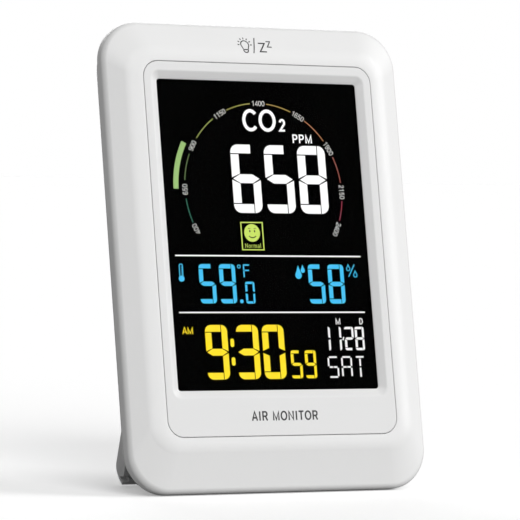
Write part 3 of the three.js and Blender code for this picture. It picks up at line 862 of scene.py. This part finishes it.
def digits(art, text, xs, z, size):
    for character, x in zip(text, xs):
        digit(art, character, x, z, size)


def glyph_strokes():
    """Plain sans characters as strokes in a box one unit high: name to (width, strokes)."""
    zero = arc(0.27, 0.5, 0.22, 0.45, 90, 450, 28)
    two = [*arc(0.27, 0.7, 0.2, 0.25, 170, -30, 14), (0.06, 0.05), (0.5, 0.05)]
    five = [(0.46, 0.94), (0.13, 0.94), (0.09, 0.5), *arc(0.26, 0.32, 0.22, 0.27, 130, -150, 18)]
    six = [(0.45, 0.8), *arc(0.27, 0.72, 0.19, 0.23, 40, 130, 6), *arc(0.37, 0.5, 0.32, 0.42, 150, 195, 6)]
    bowl = arc(0.27, 0.29, 0.22, 0.25, 0, 360, 24)
    nine, nine_bowl = ([(0.54 - px, 1 - pz) for px, pz in stroke] for stroke in (six, bowl))
    d_curve = arc(0.3, 0.5, 0.3, 0.45, 80, -80, 14)
    p_curve = arc(0.36, 0.7, 0.2, 0.25, 80, -80, 12)
    r_curve = arc(0.38, 0.71, 0.2, 0.24, 80, -80, 12)
    arches = [[*arc(x, 0.5, 0.16, 0.16, 170, 10, 8), (leg, 0.4), (leg, 0)]
              for x, leg in ((0.25, 0.42), (0.58, 0.74))]
    return {
        "0": (0.54, [zero]),
        "1": (0.54, [[(0.1, 0.72), (0.32, 0.92), (0.32, 0)]]),
        "2": (0.54, [two]),
        "4": (0.54, [[(0.4, 0), (0.4, 0.92), (0.03, 0.26), (0.53, 0.26)]]),
        "5": (0.54, [five]),
        "6": (0.54, [six, bowl]),
        "9": (0.54, [nine, nine_bowl]),
        "A": (0.66, [[(0.03, 0), (0.33, 0.97), (0.63, 0)], [(0.14, 0.31), (0.52, 0.31)]]),
        "C": (0.7, [arc(0.37, 0.5, 0.31, 0.45, 42, 318, 28)]),
        "D": (0.68, [[(0.09, 0.05), (0.09, 0.95), (0.3, 0.95), *d_curve, (0.3, 0.05), (0.05, 0.05)]]),
        "I": (0.28, [[(0.14, 0), (0.14, 1.0)]]),
        "M": (0.82, [[(0.09, 0), (0.09, 0.94), (0.41, 0.08), (0.73, 0.94), (0.73, 0)]]),
        "N": (0.7, [[(0.09, 0), (0.09, 0.93), (0.61, 0.07), (0.61, 1.0)]]),
        "O": (0.78, [arc(0.39, 0.5, 0.33, 0.45, 90, 450, 32)]),
        "P": (0.64, [[(0.09, 0), (0.09, 0.95), (0.36, 0.95), *p_curve, (0.36, 0.45), (0.09, 0.45)]]),
        "R": (0.68, [[(0.09, 0), (0.09, 0.95), (0.38, 0.95), *r_curve, (0.38, 0.47), (0.09, 0.47)],
                     [(0.38, 0.47), (0.6, 0)]]),
        "T": (0.6, [[(0, 0.95), (0.6, 0.95)], [(0.3, 0.95), (0.3, 0)]]),
        "a": (0.54, [[*arc(0.25, 0.5, 0.17, 0.17, 160, 20, 8), (0.44, 0.45), (0.44, 0)],
                     arc(0.25, 0.2, 0.18, 0.16, 0, 360, 18)]),
        "l": (0.24, [[(0.12, 0), (0.12, 1.0)]]),
        "m": (0.84, [[(0.09, 0), (0.09, 0.7)], *arches]),
        "o": (0.58, [arc(0.29, 0.34, 0.21, 0.3, 90, 450, 20)]),
        "r": (0.38, [[(0.1, 0), (0.1, 0.7)], arc(0.3, 0.45, 0.2, 0.2, 170, 90, 6)]),
        " ": (0.3, []),
    }


GLYPHS = glyph_strokes()


def write(art, text, place, height, bold, spacing=0.1, stretch=1.0):
    """Draws text centred on the origin of a function that places (x, z) points."""
    widths = [GLYPHS[c][0] * stretch + spacing for c in text]
    x = -(sum(widths) - spacing) / 2
    for character, width in zip(text, widths):
        for points in GLYPHS[character][1]:
            closed = (Vector(points[0]) - Vector(points[-1])).length < 1e-6
            kept = points[:-1] if closed else points
            line = [place((x + px * stretch) * height, (pz - 0.5) * height) for px, pz in kept]
            art.stroke(line, bold, closed)
        x += width


def at(cx, cz, turn=0.0):
    """A function that moves points to cx, cz after a turn in degrees."""
    c, s = math.cos(math.radians(turn)), math.sin(math.radians(turn))
    return lambda x, z: (cx + x * c - z * s, cz + x * s + z * c)


GAUGE = (0.17, 19.06)
GAUGE_RADIUS = 28.37


def gauge():
    """The ring of readings: numbers round a thin coloured ring and a thick bar for the level."""
    labels = Art("gauge_numbers")
    angles = [206.5, 180, 150.2, 119.8, 89.8, 59.8, 29.8, -0.2, -25.8]
    for index, angle in enumerate(angles):
        place = at(*polar(*GAUGE, GAUGE_RADIUS, angle), angle - 90)
        write(labels, str(400 + 250 * index), place, 1.75, 0.13, 0.08, 1.12)
    labels.light_up("lit_numbers", (232, 232, 230))
    arcs = [
        ((40, 112, 92), 201.7, 186.0),
        ((92, 118, 68), 173.8, 156.1),
        ((156, 168, 84), 144.0, 125.9),
        ((172, 170, 78), 113.9, 95.8),
        ((176, 150, 72), 83.8, 65.7),
        ((178, 116, 74), 54.1, 35.7),
        ((158, 82, 70), 23.5, 6.0),
        ((150, 44, 70), -6.2, -19.3),
    ]
    for index, (colour, start, end) in enumerate(arcs, 1):
        ring = Art(f"gauge_ring_{index}")
        ring.stroke(arc(*GAUGE, GAUGE_RADIUS, GAUGE_RADIUS, start, end), 0.24)
        ring.light_up(f"lit_ring_{index}", colour)
    bar = Art("gauge_level_bar")
    for radius in (30.9, 31.5, 32.1):
        bar.stroke(arc(*GAUGE, radius, radius, 179.6, 151.2, 24), 0.55)
    bar.light_up("lit_level", (152, 190, 112))


def reading():
    """The large reading, its heading and unit, and the two lines across the display."""
    art = Art("co2_reading")
    digits(art, "658", (-11.05, 1.05, 13.15), 11.75, "reading")
    write(art, "CO", at(0.2, 41.9), 6.9, 1.08, 0.07, 1.12)
    write(art, "2", at(8.5, 40.5), 3.85, 0.72)
    write(art, "PPM", at(15.45, 36.15), 2.75, 0.44, 0.16, 1.08)
    left, right, thickness = -33.35, 33.6, 0.43
    for top in (-1.9, -20.05):
        art.polygon([(left, top), (right, top), (right, top - thickness), (left, top - thickness)])
    art.light_up("lit_white", (255, 255, 255))


def mood():
    """The comfort pictogram: a round smiling face in a frame over the word for it."""
    art = Art("comfort_pictogram")
    x, z, half, tall = -5.32, 4.27, 3.85, 4.4
    frame_points = [(x - half, z - tall), (x + half, z - tall), (x + half, z + tall), (x - half, z + tall)]
    art.stroke(frame_points, 0.34, True)
    write(art, "Normal", at(x, 1.2), 1.5, 0.1, 0.12)
    art.polygon(ellipse(x - 0.02, 5.3, 2.8, 2.85, 60))
    art.light_up("lit_lime", (198, 222, 92))
    face = Art("comfort_face_lines", ART_FRONT - 0.05, ART_FRONT - 0.01)
    for side, brow_start in ((-1, 60), (1, 50)):
        face.polygon(ellipse(x + side * 0.85, 5.85, 0.24, 0.36))
        face.stroke(arc(x + side * 0.95, 6.15, 0.75, 0.6, brow_start, brow_start + 70, 8), 0.16)
    face.stroke(arc(x, 4.75, 1.35, 1.0, 205, 335, 14), 0.3)
    face.light_up("unlit", (0, 0, 0))


def drop(cx, cz, width, height):
    """The outline of a water drop."""
    radius = width / 2
    round_part = arc(cx, cz - height / 2 + radius, radius, radius, 160, 380, 18)
    waist, tip = radius * 0.45, (cx, cz + height / 2)
    return [*round_part, (cx + waist, cz + height * 0.17), tip, (cx - waist, cz + height * 0.17)]


def climate():
    """The temperature with its thermometer, and the humidity with its drops and per cent sign."""
    art = Art("climate_readings")
    digits(art, "59", (-25.4, -18.2), -17.38, "temperature")
    digits(art, "58", (13.9, 21.1), -17.45, "humidity")
    digit(art, "0", -9.25, -17.42, "tenths")
    art.polygon(ellipse(-10.85, -16.72, 0.62, 0.62))
    art.stroke(ellipse(-11.02, -5.55, 0.5, 0.5), 0.24, True)
    unit_f = [[(-9.35, -6.9), (-9.35, -8.95)], [(-9.35, -5.35), (-9.35, -6.65)],
              [(-9.5, -5.05), (-7.35, -5.05)], [(-9.05, -6.78), (-7.5, -6.78)]]
    for points in unit_f:
        art.stroke(points, 0.42)
    thermometer(art, -31.65, -7.65)
    art.polygon(drop(10.35, -7.3, 2.3, 4.3))
    art.polygon(drop(12.0, -6.2, 1.5, 2.6))
    for cx, cz in ((28.75, -5.75), (31.2, -7.8)):
        art.stroke(drop(cx, cz, 1.25, 2.0), 0.24, True)
    art.stroke([(28.75, -8.7), (31.05, -4.75)], 0.3)
    art.light_up("lit_blue", (52, 190, 240))


def thermometer(art, x, z):
    tube = [*arc(x, z + 2.3, 0.55, 0.5, 180, 0, 10), (x + 0.55, z - 1.2), (x - 0.55, z - 1.2)]
    art.stroke(tube, 0.24, True)
    art.polygon(ellipse(x, z - 1.85, 1.0, 0.95))
    for step in range(5):
        art.stroke([(x, z + 1.8 - step * 0.62), (x + 0.55, z + 1.8 - step * 0.62)], 0.2)


def clock():
    """The time, with the seconds smaller."""
    art = Art("clock_readings")
    digits(art, "930", (-24.75, -13.7, -4.5), -41.6, "clock")
    digits(art, "59", (5.3, 10.4), -41.5, "seconds")
    x, radius, rise = -15.37, 0.62, 0.7
    for z in (-29.95, -35.9):
        upper = arc(x, z + rise, radius, radius, 0, 180, 12)
        lower = arc(x, z - rise, radius, radius, 180, 360, 12)
        art.polygon([*upper, *lower])
    write(art, "AM", at(-30.82, -26.02), 2.15, 0.27, 0.06, 1.15)
    art.light_up("lit_yellow", (255, 225, 0))


def calendar():
    """The month, the day and the day of the week."""
    art = Art("calendar_readings")
    digits(art, "1128", (16.9, 20.95, 25.5, 29.35), -32.6, "date")
    art.stroke([(25.15, -28.3), (24.75, -29.3)], 0.4)
    write(art, "M", at(23.45, -23.2), 2.0, 0.26, 0.1, 1.1)
    write(art, "D", at(31.95, -23.2), 2.0, 0.26, 0.1, 0.95)
    for character, x in zip("SAT", (18.6, 23.55, 28.5)):
        letter(art, character, x, -41.45, 3.9, 6.95, 0.54)
    art.light_up("lit_white_small", (240, 240, 240))


def letter(art, character, x, z, width, height, bar):
    """A starburst-segment letter as separate short strokes."""
    gap, reach = 0.28, 0.336
    left, right, centre = x + bar / 2, x + width - bar / 2, x + width / 2
    low, middle, high = z + bar / 2, z + height / 2, z + height - bar / 2
    strokes = {
        "middle_left": [(left + gap, middle), (centre - gap / 2, middle)],
        "middle_right": [(centre + gap / 2, middle), (right - gap, middle)],
        "stem_upper": [(centre, middle + gap), (centre, high - bar)],
        "stem_lower": [(centre, low), (centre, middle - gap)],
    }
    for name, level in (("top", high), ("bottom", low)):
        strokes[name] = [(left + gap, level), (right - gap, level)]
    for name, side in (("left", left), ("right", right)):
        strokes[f"upper_{name}"] = [(side, middle + reach), (side, high - gap)]
        strokes[f"lower_{name}"] = [(side, low + gap), (side, middle - reach)]
    used = {
        "S": "top upper_left middle_left middle_right lower_right bottom",
        "A": "top upper_left upper_right middle_left middle_right lower_left lower_right",
        "T": "top stem_upper stem_lower",
    }
    for name in used[character].split():
        art.stroke(strokes[name], bar)


def divided(points, step=0.6):
    """A line with more points along it, so that it can follow a curved surface."""
    result = [points[0]]
    for a, b in zip(points, points[1:]):
        count = max(1, math.ceil(math.dist(a, b) / step))
        result += [tuple(p + (q - p) * i / count for p, q in zip(a, b)) for i in range(1, count + 1)]
    return result


def slope_depth(z):
    """The depth of the front frame's surface at height z above the surround."""
    out = z - SURROUND["top"]
    profile = edge_profile(MARGIN["top"])
    for (d0, y0), (d1, y1) in zip(profile, profile[1:]):
        if d0 <= out <= d1:
            return y0 + (y1 - y0) * (out - d0) / (d1 - d0)
    return 0.0


def light_snooze_icon():
    """A bulb with rays, a slash and two letters for sleep, on the slope above the display."""
    art = Art("light_snooze_icon", -0.02, 0.06)
    x, z, glass, neck = -3.5, 66.35, 1.4, 0.85
    art.stroke([(x - neck, 64.65), *arc(x, z, glass, glass, 215, -35, 24), (x + neck, 64.65)], 0.32)
    art.stroke([(x - neck, 64.6), (x + neck, 64.6)], 0.38)
    art.stroke(arc(x, 64.5, neck, 0.9, 180, 360, 14), 0.36)
    for ray in range(7):
        art.stroke([polar(x, z, radius, 30 * ray) for radius in (1.95, 2.55)], 0.34)
    art.stroke(divided([(-0.87, 63.44), (0.6, 68.9)]), 0.34)
    for left, bottom, width, height, bold in ((1.5, 64.05, 2.5, 3.0, 0.42), (4.5, 65.8, 1.65, 1.95, 0.32)):
        right, top = left + width, bottom + height
        corners = [(left, top), (right - 0.2, top), (left + 0.1, bottom), (right, bottom)]
        art.stroke(divided(corners), bold)
    art.drape(slope_depth)
    art.make(GREY_INK, "case_white")


def bezel_title():
    """A plain generic title below the display."""
    title = Art("bezel_title", -0.03, 0.02)
    write(title, "AIR MONITOR", at(0.4, -53.6), 2.9, 0.5, 0.16)
    title.make(GREY_INK, "bezel_white")


def inner_parts():
    """Materials of the parts inside, whose CAD solids are kept as they are."""
    board = moulded_plastic("solder_mask", (0.02, 0.13, 0.06), 0.35, 0.2, 0.015)
    nylon = moulded_plastic("natural_nylon", (0.72, 0.68, 0.55), 0.5, 0.2, 0.03)
    parts = {
        board: ["main_board", "backlight_led_strip"],
        nylon: ["lcd_holder", "battery_connector"],
        moulded_plastic("guide_acrylic", (0.82, 0.86, 0.88), 0.15, 0.1, 0.02): ["light_guide"],
        moulded_plastic("filter_membrane", (0.85, 0.85, 0.82), 0.9, 0.8, 0.05): ["gas_sensor_filter"],
        brushed_metal("cell_foil", (0.6, 0.63, 0.67), 0.35): ["battery_cell"],
        GOLD: ["gas_sensor", "touch_electrode"],
        RUBBER: ["lcd_contact_strip", "battery_lead"],
        BLACK_RESIN: ["humidity_sensor", "buzzer", "controller_chip", *(f"{key}_switch" for key in KEY_XS)],
    }
    for material, names in parts.items():
        for name in names:
            dress(frame["nodes"][name], material)


front_shell()
rear_shell()
display_bezel()
display_window()
for key_name, key_x in KEY_XS.items():
    rear_key(key_name, key_x)
usb_socket()
screws()
flip_stand()
stand_pads()
hinge_pins()
gauge()
reading()
mood()
climate()
clock()
calendar()
light_snooze_icon()
bezel_title()
inner_parts()


# Studio.

CAMERA = {"yaw": 28.203, "rise": -0.616, "tilt": 8.978, "distance": 1182.58, "right": 3.63, "down": -3.725}
SENSOR_WIDTH = 36.0
FOCAL_LENGTH = 257.545
AMBIENT = 0.26
FLOOR_GLOW = 0.3
FLOOR_BOUNCE = 0.35

# Azimuth, elevation, strength and spread of each wide light.
LIGHTS = {
    "right_light": (62, 24, 1.56, 30),
    "front_light": (-8, 30, 1.54, 34),
    "rear_light": (160, 18, 1.0, 40),
}


def camera():
    """A long lens to the left of the display, placed by its angles to the case's own face."""
    yaw, rise, tilt = (math.radians(CAMERA[k]) for k in ("yaw", "rise", "tilt"))
    lean = Matrix.Rotation(tilt, 3, "X")
    level = math.cos(rise)
    right = lean @ Vector((math.cos(yaw), -math.sin(yaw), 0))
    ahead = lean @ Vector((math.sin(yaw) * level, math.cos(yaw) * level, -math.sin(rise)))
    down = ahead.cross(right)
    position = -(right * CAMERA["right"] + down * CAMERA["down"] + ahead * CAMERA["distance"])
    data = bpy.data.cameras.new("camera")
    data.sensor_width = SENSOR_WIDTH
    data.lens = FOCAL_LENGTH
    data.clip_end = 20
    eye = linked("camera", data)
    turn = CASE.to_3x3() @ Matrix((right, -down, -ahead)).transposed() * (1 / MM)
    eye.matrix_world = Matrix.Translation(CASE @ position) @ turn.to_4x4()
    bpy.context.scene.camera = eye


def seen_or_lighting(tree, seen, lighting):
    """A shader that is one thing to the camera and another as a source of light on other surfaces."""
    path = added(tree, "LightPath")
    mix = added(tree, "MixShader")
    tree.links.new(path.outputs["Is Camera Ray"], mix.inputs["Fac"])
    tree.links.new(lighting, mix.inputs[1])
    tree.links.new(seen, mix.inputs[2])
    return mix.outputs["Shader"]


def studio_world():
    """White behind the object, and a weaker soft light on it from all round."""
    world = bpy.data.worlds.new("studio")
    world.use_nodes = True
    tree = world.node_tree
    seen = tree.nodes["Background"]
    set_inputs(seen, {"Color": (1, 1, 1, 1)})
    lighting = added(tree, "Background", Strength=AMBIENT)
    shader = seen_or_lighting(tree, seen.outputs["Background"], lighting.outputs["Background"])
    tree.links.new(shader, tree.nodes["World Output"].inputs["Surface"])
    bpy.context.scene.world = world


def studio_floor():
    """A pale floor, held back by black card where it would light the object from below."""
    material, shader = principled("studio_white", Base_Color=(0.93, 0.93, 0.93, 1), Roughness=1.0)
    glow = {"Emission_Color": (1, 1, 1, 1), "Emission_Strength": FLOOR_GLOW}
    set_inputs(shader, {"Specular_IOR_Level": 0.0, **glow})
    tree = material.node_tree
    card = added(tree, "BsdfDiffuse", Color=(FLOOR_BOUNCE, FLOOR_BOUNCE, FLOOR_BOUNCE, 1))
    mixed = seen_or_lighting(tree, shader.outputs["BSDF"], card.outputs["BSDF"])
    tree.links.new(mixed, tree.nodes["Material Output"].inputs["Surface"])
    floor = bpy.data.meshes.new("floor")
    floor.from_pydata([(-6, -6, 0), (6, -6, 0), (6, 6, 0), (-6, 6, 0)], [], [(0, 1, 2, 3)])
    floor.materials.append(material)
    obj = linked("floor", floor)


def soft_light(name, azimuth, elevation, strength, spread):
    """A far, wide light at an angle round to the right of straight ahead, and up."""
    turn, rise = math.radians(azimuth), math.radians(elevation)
    toward = Vector((math.sin(turn) * math.cos(rise), -math.cos(turn) * math.cos(rise), math.sin(rise)))
    data = bpy.data.lights.new(name, "SUN")
    data.energy = strength
    data.angle = math.radians(spread)
    obj = linked(name, data)
    obj.rotation_mode = "QUATERNION"
    obj.rotation_quaternion = toward.to_track_quat("Z", "Y")


def studio():
    """Wide lights that leave the display's mirror direction dark: from the right, in front and behind."""
    studio_floor()
    studio_world()
    for name, light in LIGHTS.items():
        soft_light(name, *light)
    bpy.context.scene.view_settings.view_transform = "Standard"


camera()
studio()
